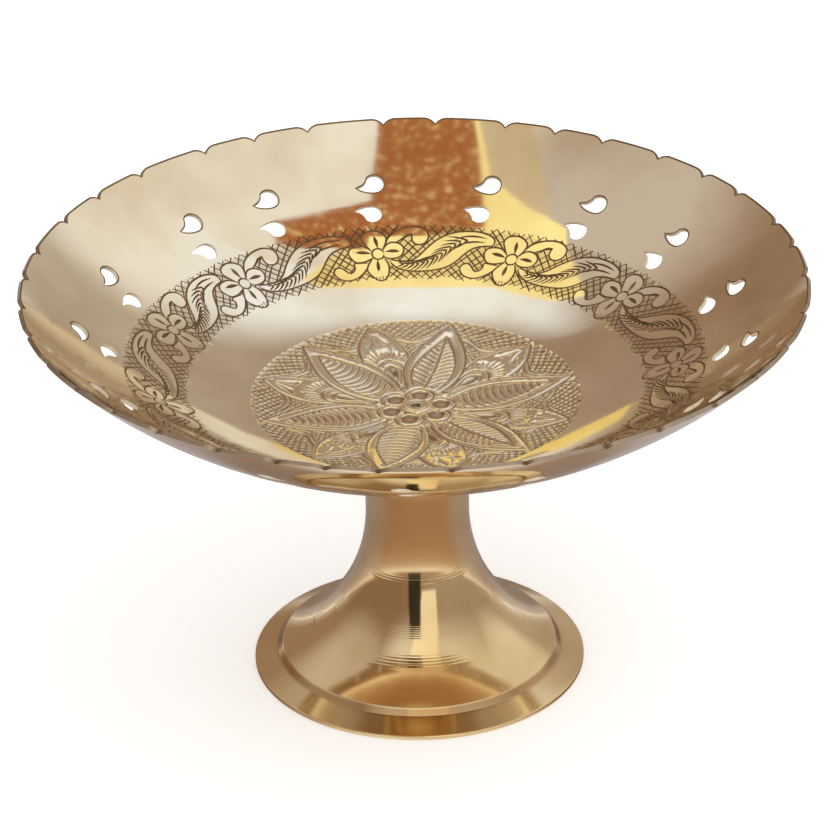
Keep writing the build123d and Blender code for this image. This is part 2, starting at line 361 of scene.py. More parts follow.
band_covers = []
for number, flower in enumerate(flower_angles):
    following = flower_angles[(number + 1) % len(flower_angles)]
    stretch = ((flower - following) % 360) / leaf_gap
    eye = band_line(flower, 1, disc((0, 0), 1.65), True)
    petals = [
        band_line(flower, 1, outline, True)
        for outline in (outer_petal, left_petal, right_petal, inner_petal)
    ]
    bud_edge = band_line(flower, 1, bud, True)
    tendril = band_line(flower, 1, hook, True)
    leaf = band_line(flower, stretch, leaf_lower + leaf_upper, True)
    next_petal = band_line(following, 1, left_petal, True)
    blossom = [eye] + petals
    stroke(eye, cut_width, cut_depth, closed=True)
    for order, petal in enumerate(petals):
        stroke(petal, cut_width, cut_depth, covers=[eye] + petals[:order], closed=True, step=0.7)
    for start, end in petal_slits:
        middle = ((start[0] + end[0]) / 2, (start[1] + end[1]) / 2 + 0.15)
        slit = band_line(flower, 1, (start, middle, end))
        stroke(slit, 1.05, 0.3, ends="spindle", step=0.7)
    for start in np.linspace(-1.6, 1.2, 4):
        flick = band_line(flower, 1, ((start, -7.2), (start * 1.15, -8.9)))
        stroke(flick, 0.3, cut_depth, ends="wedge")
    stroke(bud_edge, cut_width, cut_depth, covers=blossom, closed=True)
    stroke(band_line(flower, 1, bud_slit), 0.8, 0.25, covers=blossom, ends="spindle", step=0.7)
    stroke(tendril, cut_width, cut_depth, covers=blossom, closed=True)
    over_leaf = blossom + [next_petal, bud_edge]
    stroke(leaf, cut_width, cut_depth, covers=over_leaf, closed=True)
    rib = spline(leaf_rib, step=rib_step)
    for place in range(first_barb, int(len(rib) * barbed_share), barb_gap):
        heading = rib[place + 3] - rib[place - 3]
        heading = heading / np.linalg.norm(heading)
        for side, reach_back, reach_aside in barb_reaches:
            aside = np.array((-heading[1], heading[0])) * side
            root = rib[place] + aside * 0.12
            spread = (0.85 + 0.3 * hand.random()) * min(1, 0.45 + place / 70)
            end = root + (aside * reach_aside - heading * reach_back) * spread
            bend = root + (aside * reach_aside * 0.6 - heading * reach_back * 0.46) * spread
            barb = band_line(flower, stretch, (root, bend, end))
            barb = barb[inside(barb, leaf)]
            if len(barb) > 2:
                stroke(barb, 0.6, barb_depth, covers=over_leaf, ends="wedge", step=0.7)
    for streak in leaf_streaks:
        streak = band_line(flower, stretch, streak)
        stroke(streak, 0.55, barb_depth, covers=over_leaf, ends="spindle")
    band_covers += blossom + [bud_edge, tendril, leaf]


def hatch_line(start, way, level, inner_end, outer_end, count):
    """A line that crosses every circle of the dish at 45 degrees, one way or the other. It
    is at its start angle where its radius is level."""
    radii = np.linspace(inner_end, outer_end, count)
    return [polar(radius, start + math.degrees(way * math.log(radius / level))) for radius in radii]


# The ground of the band: two families of hatch lines, cut by eye.
band_lines = 172
band_level = 74.3
for way in (1, -1):
    for number in range(band_lines):
        start = 360 * (number + 0.3 * (hand.random() - 0.5)) / band_lines
        inner_end = band_inner + 1.2 * hand.random()
        outer_end = band_outer - 0.5 * hand.random()
        line = hatch_line(start, way, band_level, inner_end, outer_end, 12)
        width = 0.4 + 0.1 * hand.random()
        stroke(line, width, cut_depth, covers=band_covers, ends="blunt", step=2.4)

# The medallion: a six-petalled flower round the stud, six long veined leaves, six fan petals
# between them and a hatched ground, all pushed with rounded tools. Each leaf is drawn along its
# own axis, as (distance from the middle of the dish, distance aside).
leaf_axes = (76.5, 135.3, 197.4, 257.5, 313.5, 13.9)
fan_axes = (42.8, 107.2, 164.6, 231.7, 282.7, 340.6)
small_petal_axes = (81.0, 14.0, -39.0, -105.0, -161.0, 141.5)
small_petal_distance = 6.7
small_petal_radius = 3.75
small_petal_middles = [polar(small_petal_distance, axis) for axis in small_petal_axes]
feathered_leaves = (76.5, 313.5)
medallion_radius = 42.2

# Half outlines: how far along the axis, and how wide the shape is to each side there. A leaf's
# inner line runs inside its edge, and a fan petal holds a loop round a seed.
leaf_half = ((9.5, 4.4), (13, 6.0), (18, 7.5), (23, 7.8), (28, 6.9), (32, 5.5), (37, 3.0), (40, 1.3))
leaf_tip = 42.3
inner_half = ((11.5, 3.4), (15, 4.8), (19, 5.5), (24, 5.1), (28, 3.9), (32, 2.2))
inner_tip = 36.4
fan_half = ((13, 2.6), (20, 4.3), (25, 6.0), (30, 6.1), (35, 4.8), (39, 2.3))
fan_tip = 41.9
loop_half = ((12.5, 1.0), (16, 2.1), (20, 3.2), (23.2, 3.1))
loop_top = 25.6
seed_half = ((15.5, 0.8), (18, 1.6), (20.8, 2.1))
seed_foot, seed_top = 13.6, 23.0


def along_axis(axis, points):
    """Points given along and aside of an axis, on the dish."""
    forward = polar(1, axis)
    aside = np.array((-forward[1], forward[0]))
    return [forward * along + aside * off for along, off in points]


def both_sides(half, tip):
    """A leaf-like outline from one side's widths, up to its tip and back."""
    return [(a, w) for a, w in half] + [(tip, 0.0)] + [(a, -w) for a, w in reversed(half)]


def pointed(axis, half, tip):
    """A leaf's outline, with a sharp tip and open at its foot."""
    left = spline(along_axis(axis, list(half) + [(tip, 0.0)]))
    right = spline(along_axis(axis, [(a, -w) for a, w in half] + [(tip, 0.0)]))
    return np.vstack((left, right[::-1][1:]))


push_settings = {"width": push_width, "depth": push_depth, "push": True}
vein_width, vein_depth, vein_gap = 0.56, 0.25, 2.0
barb_rise = 1.95
small_petals = [np.array(disc(middle, small_petal_radius, 22)) for middle in small_petal_middles]
head_outline = np.array(disc((0, 0), 4.1, 24))
for order, outline in enumerate(small_petals):
    stroke(outline, covers=[head_outline] + small_petals[:order], closed=True, **push_settings)

medallion_covers = small_petals + [head_outline]
leaves = [pointed(axis, leaf_half, leaf_tip) for axis in leaf_axes]
for axis, leaf in zip(leaf_axes, leaves):
    stroke(leaf, covers=small_petals, **push_settings)
    heart = pointed(axis, inner_half, inner_tip)
    stroke(heart, covers=small_petals, **push_settings)
    if axis in feathered_leaves:
        midrib = ((11.0, 0.3), (20, -0.3), (28, -0.2), (36, 0.1))
        stroke(spline(along_axis(axis, midrib)), covers=small_petals, **push_settings)
        veins = [
            ((place, 0.5 * side), (place + 1.9, 2.6 * side), (place + 3.4, 5.4 * side))
            for place in np.arange(12.0, 33.5, barb_rise)
            for side in (1, -1)
        ]
    else:
        veins = [
            ((place + 1.3, 6.0), (place - 0.3, 2.4), (place - 0.4, -0.6), (place + 0.9, -3.4),
             (place + 3.0, -6.0))
            for place in np.arange(11.5, 36.5, vein_gap)
        ]
    for vein in veins:
        line = spline(along_axis(axis, vein), step=0.5)
        line = line[inside(line, heart)]
        if len(line) > 2:
            stroke(line, vein_width, vein_depth, True, covers=small_petals, step=1.1)
medallion_covers += leaves

# A fan petal is fluted round its seed, with two short marks at its tip.
flutes, flute_gap, flute_centre = 6, 10.5, 21.0
fans = [pointed(axis, fan_half, fan_tip) for axis in fan_axes]
seeds = []
for axis, fan in zip(fan_axes, fans):
    stroke(fan, covers=medallion_covers, **push_settings)
    loop = spline(along_axis(axis, both_sides(loop_half, loop_top)))
    seed = along_axis(axis, [(seed_foot, 0.0)] + both_sides(seed_half, seed_top))
    seed = spline(seed, closed=True, step=0.7)
    seeds.append(seed)
    stroke(loop, covers=small_petals + leaves, **push_settings)
    stroke(seed, 0.5, 0.2, True, covers=small_petals + leaves, closed=True, step=0.7)
    for place in range(-flutes, flutes + 1):
        turn = math.radians(place * flute_gap)
        length = 9.3 - 0.25 * abs(place) + 0.6 * (hand.random() - 0.5)
        line = along_axis(axis, [
            (flute_centre + reach * math.cos(turn), reach * math.sin(turn) * 0.94)
            for reach in (5.5, 7.2, length)
        ])
        line = np.array(line)
        if inside(line, fan).all():
            stroke(line, 0.42, 0.13, True, covers=leaves, step=1.2)
    for side in (1, -1):
        mark = along_axis(axis, ((37.4, 0.6 * side), (35.0, 1.3 * side), (32.6, 2.5 * side)))
        stroke(spline(mark), 0.5, 0.18, True, ends="wedge", step=1.0)
medallion_covers += fans

# Wavy ribbons cross the ground between each leaf and fan petal.
ribbon_half = 0.75
ribbon_radius, ribbon_wave, ribbon_fall = 35.3, 1.25, 1.6
ribbons = []
for leaf_axis in leaf_axes:
    for fan_axis in fan_axes:
        gap = (fan_axis - leaf_axis + 180) % 360 - 180
        if abs(gap) > 45:
            continue
        side = 1 if gap > 0 else -1
        edges = ([], [])
        for share in np.linspace(0.08, 0.92, 16):
            swing = math.sin(2 * math.pi * 1.5 * share + 0.4 * side)
            wave = ribbon_radius + ribbon_wave * swing - ribbon_fall * share
            for edge, off in zip(edges, (ribbon_half, -ribbon_half)):
                edge.append(polar(wave + off, leaf_axis + gap * share))
        for edge in edges:
            stroke(edge, 0.5, 0.26, True, covers=medallion_covers, step=0.9)
        ribbons.append(np.array(edges[0] + edges[1][::-1]))
medallion_covers += ribbons

# The ground of the medallion: hatch lines that stop short of every shape.
medallion_lines = 108
medallion_inner, medallion_level = 11.5, 41.4
for way in (1, -1):
    for number in range(medallion_lines):
        start = 360 * (number + 0.22 * (hand.random() - 0.5)) / medallion_lines
        outer_end = medallion_radius + 0.5 * hand.random()
        line = hatch_line(start, way, medallion_level, medallion_inner, outer_end, 20)
        stroke(line, 0.5, 0.24, True, medallion_covers, ends="blunt", step=2.2, shy=2)


cell = 4.0
column_stride = 4096


def nearby(points):
    keys = np.floor(points / cell).astype(int)
    cells = keys[:, 0] * column_stride + keys[:, 1]
    order = np.argsort(cells, kind="stable")
    return cells[order], order


def near_line(index, low, high):
    """The indices of the points in the cells that a box touches."""
    cells, order = index
    found = []
    a, b = np.floor(low / cell).astype(int), np.floor(high / cell).astype(int)
    for column in range(a[0], b[0] + 1):
        first = np.searchsorted(cells, column * column_stride + a[1], "left")
        last = np.searchsorted(cells, column * column_stride + b[1], "right")
        found.append(order[first:last])
    return np.concatenate(found)


def distance_to(points, line, halves):
    """For each point: its distance to a line over the line's half width there."""
    start, end = line[:-1], line[1:]
    way = end - start
    length = np.maximum(np.sum(way**2, axis=1), 1e-9)
    off = points[:, None, :] - start[None]
    share = np.clip(np.sum(off * way[None], axis=2) / length, 0, 1)
    foot = start[None] + share[..., None] * way[None]
    gap = np.linalg.norm(points[:, None, :] - foot, axis=2)
    half = halves[:-1][None] * (1 - share) + halves[1:][None] * share
    return np.min(gap / half, axis=1)


def bell(share):
    """1 at 0, falling smoothly to 0 at 1 and beyond."""
    return 0.5 * (1 + np.cos(math.pi * np.clip(share, 0, 1)))


push_spread = 2.0
untouched = 9.0
pit_radius, pit_fall, pit_depth = 1.85, 0.6, 0.22
lip_radius, lip_half, lip_height = 2.8, 0.65, 0.1
hollow_middle, hollow_half, hollow_width, hollow_depth = 19.4, 4.6, 2.0, 0.4


def worked(points):
    """At points of the dish: the smooth relief, the depth of a sharp cut, and how far off the
    nearest cut is, as a share of its half width. The round petals are pits with a lip, and
    each fan petal is hollowed at its foot."""
    relief = np.zeros(len(points))
    depth = np.zeros(len(points))
    closeness = np.full(len(points), untouched)
    index = nearby(points)
    for line, halves, how_deep, push, _ in strokes:
        margin = halves.max() * (push_spread if push else 1.0) + 0.02
        some = near_line(index, line.min(0) - margin, line.max(0) + margin)
        if not len(some):
            continue
        at = distance_to(points[some], line, halves)
        if push:
            relief[some] = np.minimum(relief[some], -how_deep * bell(at / push_spread))
        else:
            closeness[some] = np.minimum(closeness[some], at)
            depth[some] = np.maximum(depth[some], how_deep * np.clip(1 - at, 0, 1))
    for middle in small_petal_middles:
        away = np.linalg.norm(points - middle, axis=1)
        pit = bell((away - pit_radius) / pit_fall)
        lip = bell(abs(away - lip_radius) / lip_half)
        relief = relief - pit_depth * pit + lip_height * lip
    for axis in fan_axes:
        local = points @ np.array((polar(1, axis), polar(1, axis + 90))).T
        along = (local[:, 0] - hollow_middle) / hollow_half
        half = hollow_width * np.clip(0.75 + 0.35 * along, 0.2, 1.2)
        away = np.sqrt(along**2 + (local[:, 1] / half) ** 2)
        relief = relief - hollow_depth * bell(away)
    return relief, depth, closeness


furrow_edge = 1.9


def stroke_borders(points, edges):
    """Add each stroke's two borders and its middle line to the plan of the mesh, and for a
    pushed shape also the lines where its rounded furrow begins."""
    for line, halves, how_deep, push, is_shape in strokes:
        way = np.gradient(line, axis=0)
        way /= np.maximum(np.linalg.norm(way, axis=1, keepdims=True), 1e-9)
        aside = np.stack((-way[:, 1], way[:, 0]), axis=1) * halves[:, None]
        if push and is_shape:
            points.extend(line + aside * furrow_edge)
            points.extend(line - aside * furrow_edge)
        for rail in (line + aside, line, line - aside):
            first = len(points)
            points.extend(rail)
            edges.extend((first + k, first + k + 1) for k in range(len(rail) - 1))


def loop_edges(points, edges, outline):
    """Add a closed outline to the plan of the mesh."""
    first = len(points)
    points.extend(outline)
    count = len(outline)
    edges.extend((first + k, first + (k + 1) % count) for k in range(count))


arris = 0.36
weld = 1e-4
petal_reach = 6
# The plan's own rings of points: those round each pit, and those that fill the worked face and
# the plain underside between the strokes, as radii and the number of points on each.
pit_rings = (0.9, 1.85, 2.15, 2.45, 2.8, 3.15)
pit_steps = 20
worked_rings = (
    ((4.5, 9.0), 60),
    (np.arange(12.0, 42.0, 2.2), 120),
    ((43.2, 46.0, 49.0, 52.0, 55.0, 57.5), 200),
    ((60.5, 63.5, 66.5, 69.5, 72.5, 76.0), 220),
    (np.arange(79.0, 98.5, 2.6), 260),
)
plain_rings = (((5.0, 9.0, 14.0, 20.0, 26.0), 72), (np.arange(32.0, 98.5, 4.0), 144))


def moved_out(outline, by):
    """An outline moved off itself: outwards, or inwards where by is negative."""
    way = np.roll(outline, -1, axis=0) - np.roll(outline, 1, axis=0)
    way /= np.linalg.norm(way, axis=1, keepdims=True)
    return outline + np.stack((way[:, 1], -way[:, 0]), axis=1) * by


def plan_mesh(detailed):
    """Triangles that cover the dish as seen from above, with every line kept as an edge."""
    points, edges = [], []
    for outline in [rim_outline()] + hole_outlines:
        loop_edges(points, edges, outline)
    if detailed:
        loop_edges(points, edges, moved_out(rim_outline(), -arris))
        for outline in drop_outlines:
            loop_edges(points, edges, moved_out(outline, arris))
        stroke_borders(points, edges)
        for middle in small_petal_middles:
            for ring in pit_rings:
                loop_edges(points, edges, disc(middle, ring, pit_steps))
        for seed in seeds:
            middle = seed.mean(0)
            for share in (0.3, 0.6):
                loop_edges(points, edges, middle + (seed - middle) * share)
        for cover in band_covers:
            middle = cover.mean(0)
            if np.linalg.norm(cover - middle, axis=1).max() < petal_reach:
                points.extend(middle + (cover - middle) * 0.72)
    rings = [
        (radius, count)
        for radii, count in (worked_rings if detailed else plain_rings) for radius in radii
    ]
    for order, (radius, count) in enumerate(rings):
        for step in range(count):
            points.append(polar(radius, 360 * (step + 0.5 * (order % 2)) / count))
    triangulated = delaunay_2d_cdt([Vector(p) for p in points], edges, [], 0, weld, True)
    flat = np.array([tuple(v) for v in triangulated[0]])
    faces = np.array(triangulated[2])
    middles = flat[faces].mean(1)
    faces = faces[inside_many(middles, rim_outline()) & ~covered(middles, hole_outlines)]
    a, b, c = flat[faces[:, 0]], flat[faces[:, 1]], flat[faces[:, 2]]
    turn = (b[:, 0] - a[:, 0]) * (c[:, 1] - a[:, 1]) - (b[:, 1] - a[:, 1]) * (c[:, 0] - a[:, 0])
    faces[turn < 0] = faces[turn < 0][:, ::-1]
    return flat, faces


def on_dish(flat, lift):
    """Lift points of the plan onto the sheet, a distance above its inner face."""
    radius = np.maximum(np.linalg.norm(flat, axis=1), 1e-6)
    slope = slope_at(radius)
    outwards = flat / radius[:, None]
    inwards = np.column_stack((-outwards * np.sin(slope)[:, None], np.cos(slope)))
    base = np.column_stack((flat, height_at(radius)))
    return base + inwards * np.asarray(lift)[..., None], inwards


def tilt(flat, inwards, reach=0.12):
    """The direction that the smooth relief faces, from its rise either side of each point."""
    radius = np.maximum(np.linalg.norm(flat, axis=1, keepdims=True), 1e-6)
    outwards = flat / radius
    across = np.column_stack((-outwards[:, 1], outwards[:, 0]))
    rise_outwards = -np.sum(inwards[:, :2] * outwards, axis=1)
    up_slope = np.column_stack((outwards * inwards[:, 2:3], rise_outwards))
    level = np.column_stack((across, np.zeros(len(flat))))
    facing = inwards.copy()
    for step, way in ((outwards, up_slope), (across, level)):
        rise = worked(flat + step * reach)[0] - worked(flat - step * reach)[0]
        facing -= way * (rise / (2 * reach))[:, None]
    return facing / np.linalg.norm(facing, axis=1, keepdims=True)


# Each ground: the radii that it lies between, what covers it and how much residue it holds; the band's
# share is partly painted shade.
grounds = (
    (band_inner + 1.4, band_outer - 1.2, band_covers, 0.36),
    (11.0, medallion_radius - 1.2, medallion_covers, 0.4),
)
# A pit's residue and painted shade: how far from the petal's middle it reaches and how much of it lies
# there.
most_soil = 0.9
petal_edge = 3.1
pit_soils_and_shade = ((petal_edge, 0.0), (2.4, most_soil), (1.8, 0.3))


def ground_soil_and_shade(flat):
    """How much polish residue lies in the hatched grounds, wherever no drawn shape covers
    them, and in the round petals' pits, where it gathers along the foot of the wall. In the band's
    ground and along the pits' walls it is partly painted shade."""
    radius = np.linalg.norm(flat, axis=1)
    soil_and_shade = np.zeros(len(flat))
    for inner, outer, covers, amount in grounds:
        soil_and_shade[(radius > inner) & (radius < outer) & ~covered(flat, covers)] = amount
    for middle in small_petal_middles:
        away = np.linalg.norm(flat - middle, axis=1)
        for reach, amount in pit_soils_and_shade:
            soil_and_shade[away < reach] = amount
    return soil_and_shade


def boundary_edges(faces):
    """The directed edges that only one face has."""
    directed = np.vstack((faces[:, (0, 1)], faces[:, (1, 2)], faces[:, (2, 0)]))
    known = set(map(tuple, directed))
    return [edge for edge in known if (edge[1], edge[0]) not in known]


top_flat, top_faces = plan_mesh(True)
relief, depth, closeness = worked(top_flat)
top_points, inwards = on_dish(top_flat, relief - depth)
facing = inwards.copy()
chased = np.linalg.norm(top_flat, axis=1) < band_outer + 1
facing[chased] = tilt(top_flat[chased], inwards[chased])
middles = top_flat[top_faces].mean(1)
in_cut = worked(middles)[2] < 1
on_arris = covered(middles, [moved_out(outline, arris) for outline in drop_outlines])
on_arris |= ~inside_many(middles, moved_out(rim_outline(), -arris))

under_flat, under_faces = plan_mesh(False)
under_points, under_inwards = on_dish(under_flat, np.full(len(under_flat), -sheet))
under_faces = under_faces[:, ::-1] + len(top_points)

# The edges of both faces meet in walls: round the rim, in the drops and in the stud's bore.
places = {}
for number, point in enumerate(under_flat):
    places[tuple(np.round(point, 3))] = number + len(top_points)
walls = []
for a, b in boundary_edges(top_faces):
    under_a = places[tuple(np.round(top_flat[a], 3))]
    under_b = places[tuple(np.round(top_flat[b], 3))]
    walls += [(b, a, under_a), (b, under_a, under_b)]
walls = np.array(walls)

all_points = np.vstack((top_points, under_points)) * MM
all_faces = np.vstack((top_faces, under_faces, walls))
print("dish:", len(all_points), "points,", len(all_faces), "faces")

dish_mesh = bpy.data.meshes.new("spun_dish")
dish_mesh.from_pydata(all_points.tolist(), [], all_faces.tolist())
# The kinds of face, as the order of the dish's metals: buffed, oxidised, filed and punched.
face_kind = np.zeros(len(all_faces), int)
face_kind[: len(top_faces)][in_cut | on_arris] = 1
wall_kind = face_kind[len(top_faces) + len(under_faces):]
wall_radius = np.linalg.norm(all_points[walls].mean(1)[:, :2], axis=1)
wall_kind[:] = np.where(wall_radius < (outer_drop_radius + drop_tail) * MM, 3, 2)
dish_mesh.polygons.foreach_set("material_index", face_kind)
dish_mesh.polygons.foreach_set("use_smooth", np.ones(len(all_faces), bool))
darkness = dish_mesh.attributes.new("residue", "FLOAT", "POINT")
to_pits = [np.linalg.norm(top_flat - middle, axis=1) for middle in small_petal_middles]
in_pit = np.min(to_pits, axis=0) < petal_edge
pushed_soil = np.where(in_pit, 0, np.clip(-relief / push_depth, 0, 1) * most_soil)
# The residue carries real polish in the furrows and grounds, and painted shade in the band's ground
# and along the pits' walls.
soil_and_shade = np.maximum(pushed_soil, ground_soil_and_shade(top_flat))
darkness.data.foreach_set("value", np.concatenate((soil_and_shade, np.zeros(len(under_points)))))

corners = all_points[all_faces]
flat_normals = np.cross(corners[:, 1] - corners[:, 0], corners[:, 2] - corners[:, 0])
flat_normals /= np.maximum(np.linalg.norm(flat_normals, axis=1, keepdims=True), 1e-12)
smooth_normals = np.vstack((facing, -under_inwards))
corner_normals = smooth_normals[all_faces]
faceted = face_kind > 0
faceted[: len(top_faces)][on_arris] = False
corner_normals[faceted] = flat_normals[faceted][:, None, :]
dish_mesh.normals_split_custom_set(corner_normals.reshape(-1, 3).tolist())


def in_scene(name, data):
    """A new object of this mesh, lamp or camera."""
    thing = bpy.data.objects.new(name, data)
    bpy.context.scene.collection.objects.link(thing)
    return thing


dish = in_scene("spun_dish", dish_mesh)


def linear(hex_colour):
    """An sRGB hex colour as linear values with alpha."""
    channels = [int(hex_colour[k:k + 2], 16) / 255 for k in (1, 3, 5)]
    return tuple(c / 12.92 if c <= 0.04045 else ((c + 0.055) / 1.055) ** 2.4 for c in channels) + (1,)


def add_node(tree, kind, settings=None, links=None):
    """Add a node: settings by property or input name, links by input name to an output."""
    node = tree.nodes.new(kind)
    for name, value in (settings or {}).items():
        if isinstance(name, str) and hasattr(node, name):
            setattr(node, name, value)
        else:
            node.inputs[name].default_value = value
    for name, output in (links or {}).items():
        tree.links.new(output, node.inputs[name])
    return node


patch_size, dent_size = 42, 24


def polished_brass(name, bright, dull, residue_hex, roughness, spin_pitch, painted_shade_bands=()):
    """Brass worked on a lathe and buffed: a warm mirror with a slight haze, faint turning marks
    and a thin uneven tarnish that browns it in patches. Pushed furrows keep more of the tarnish.
    Bands of painted shade darken it at given heights, each given as the heights that it runs
    between, how far it fades past them, how strong it is and its tint. The turning marks are
    drawn coarser than a polished lathe job's, so that they show."""
    material = bpy.data.materials.new(name)
    material.use_nodes = True
    tree = material.node_tree
    shader = tree.nodes["Principled BSDF"]
    place = add_node(tree, "ShaderNodeTexCoord").outputs["Object"]
    parts = add_node(tree, "ShaderNodeSeparateXYZ", links={0: place})
    level = add_node(tree, "ShaderNodeVectorMath", {"operation": "MULTIPLY", 1: (1, 1, 0)}, {0: place})
    radius = add_node(tree, "ShaderNodeVectorMath", {"operation": "LENGTH"}, {0: level.outputs[0]})
    lathe_place = add_node(tree, "ShaderNodeCombineXYZ",
                           links={"X": radius.outputs["Value"], "Z": parts.outputs["Z"]})
    turning = add_node(tree, "ShaderNodeTexNoise",
                       {"Scale": 1 / (spin_pitch * MM), "Detail": 2.0, "Roughness": 0.6},
                       {"Vector": lathe_place.outputs[0]})
    patches = add_node(tree, "ShaderNodeTexNoise",
                       {"Scale": 1 / (patch_size * MM), "Detail": 3.0, "Roughness": 0.55},
                       {"Vector": place})
    tarnish = add_node(tree, "ShaderNodeMapRange", {"From Min": 0.42, "From Max": 0.72},
                       {"Value": patches.outputs["Fac"]})
    colour = add_node(tree, "ShaderNodeMix",
                      {"data_type": "RGBA", 6: linear(bright), 7: linear(dull)},
                      {0: tarnish.outputs[0]}).outputs[2]
    # Each band of painted shade multiplies the colour by its tint between its heights.
    for low, high, fade, amount, tint in painted_shade_bands:
        rise, fall = (
            add_node(tree, "ShaderNodeMapRange",
                     {"interpolation_type": "SMOOTHSTEP", "From Min": edge * MM,
                      "From Max": full * MM, "To Max": most}, {"Value": parts.outputs["Z"]})
            for edge, full, most in ((low - fade, low, amount), (high + fade, high, 1.0))
        )
        painted_shade_share = add_node(tree, "ShaderNodeMath", {"operation": "MULTIPLY"},
                        {0: rise.outputs[0], 1: fall.outputs[0]})
        colour = add_node(tree, "ShaderNodeMix",
                          {"data_type": "RGBA", "blend_type": "MULTIPLY", 7: linear(tint)},
                          {0: painted_shade_share.outputs[0], 6: colour}).outputs[2]
    residue = add_node(tree, "ShaderNodeAttribute", {"attribute_name": "residue"})
    share = add_node(tree, "ShaderNodeMath", {"operation": "MULTIPLY", 1: 0.85},
                     {0: residue.outputs["Fac"]})
    colour = add_node(tree, "ShaderNodeMix", {"data_type": "RGBA", 7: linear(residue_hex)},
                      {0: share.outputs[0], 6: colour}).outputs[2]
    tree.links.new(colour, shader.inputs["Base Color"])
    haze = add_node(tree, "ShaderNodeMapRange",
                    {"From Min": 0.3, "From Max": 0.7, "To Min": roughness - 0.02,
                     "To Max": roughness + 0.03},
                    {"Value": patches.outputs["Fac"]})
    tree.links.new(haze.outputs[0], shader.inputs["Roughness"])
    grooves = add_node(tree, "ShaderNodeBump", {"Strength": 0.06, "Distance": 0.05 * MM},
                       {"Height": turning.outputs["Fac"]})
    dents = add_node(tree, "ShaderNodeTexNoise", {"Scale": 1 / (dent_size * MM), "Detail": 1.0},
                     {"Vector": place})
    waves = add_node(tree, "ShaderNodeBump", {"Strength": 0.25, "Distance": 0.4 * MM},
                     {"Height": dents.outputs["Fac"], "Normal": grooves.outputs[0]})
    tree.links.new(waves.outputs[0], shader.inputs["Normal"])
    shader.inputs["Metallic"].default_value = 1.0
    return material


# Yellow brass sheet, spun and buffed: a pale gold mirror, browner in the pushed furrows.
spun_brass = polished_brass("buffed_spun_brass", "#EFE2C6", "#D8C29C", "#8A6A42", 0.06, 0.9)


def mottled_metal(name, pattern, grain, detail, colours, roughness, metallic):
    """Metal that no wheel has buffed, mottled between two colours by a pattern of this grain in
    millimetres. Its roughness is one value, or two that it runs between with the pattern."""
    material = bpy.data.materials.new(name)
    material.use_nodes = True
    tree = material.node_tree
    shader = tree.nodes["Principled BSDF"]
    place = add_node(tree, "ShaderNodeTexCoord").outputs["Object"]
    mottle = add_node(tree, pattern, {"Scale": 1 / (grain * MM), "Detail": detail},
                      {"Vector": place}).outputs[0]
    dark, light = (linear(colour) for colour in colours)
    colour = add_node(tree, "ShaderNodeMix", {"data_type": "RGBA", 6: dark, 7: light}, {0: mottle})
    tree.links.new(colour.outputs[2], shader.inputs["Base Color"])
    if isinstance(roughness, tuple):
        rough = add_node(tree, "ShaderNodeMapRange",
                         {"To Min": roughness[0], "To Max": roughness[1]}, {"Value": mottle})
        tree.links.new(rough.outputs[0], shader.inputs["Roughness"])
    else:
        shader.inputs["Roughness"].default_value = roughness
    shader.inputs["Metallic"].default_value = metallic
    return material


# The chaser's cuts: bare brass browned by polish residue and handling, dark and matt.
residue_brass = mottled_metal("oxidised_cut_brass", "ShaderNodeTexNoise", 1.5, 3.0,
                              ("#69503A", "#8C704F"), (0.4, 0.6), 0.85)
# The sheet's own edge, filed smooth after the scallops were cut: satin, greyed by hands.
edge_brass = mottled_metal("filed_edge_brass", "ShaderNodeTexNoise", 3.0, 4.0,
                           ("#94836F", "#B2A089"), 0.3, 1.0)
# The walls of the punched drops: torn brass, matt, with a pale colour that is partly a painted
# highlight.
punched_brass = mottled_metal("punched_edge_brass", "ShaderNodeTexNoise", 0.7, 3.0,
                              ("#D9CBB0", "#F2EADB"), 0.5, 0.6)
for material in (spun_brass, residue_brass, edge_brass, punched_brass):
    dish_mesh.materials.append(material)
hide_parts("dish")
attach(dish, "root")

# ---------------------------------------------------------------------------
# The foot: a hollow brass casting turned outside, with a flange to stand on, a waisted neck and
# a closed crown, which the stud draws up against the dish. Fine lathe lines are left round the
# flare, and brown painted shade darkens the neck and the crease.
# ---------------------------------------------------------------------------
# Cast yellow brass, turned and buffed: a deeper and hazier gold than the sheet's.
# Painted shade: a brownish band up the neck and a darker brown band in the crease above the flange.
painted_neck_shade = (24, 90, 9, 0.4, "#BAA499")
painted_crease_shade = (3.7, 4.6, 0.6, 0.6, "#A87E58")
turned_brass = polished_brass("buffed_turned_brass", "#ECD6A8", "#D2B07C", "#8A6A42", 0.09, 0.6,
                              painted_shade_bands=(painted_neck_shade, painted_crease_shade))


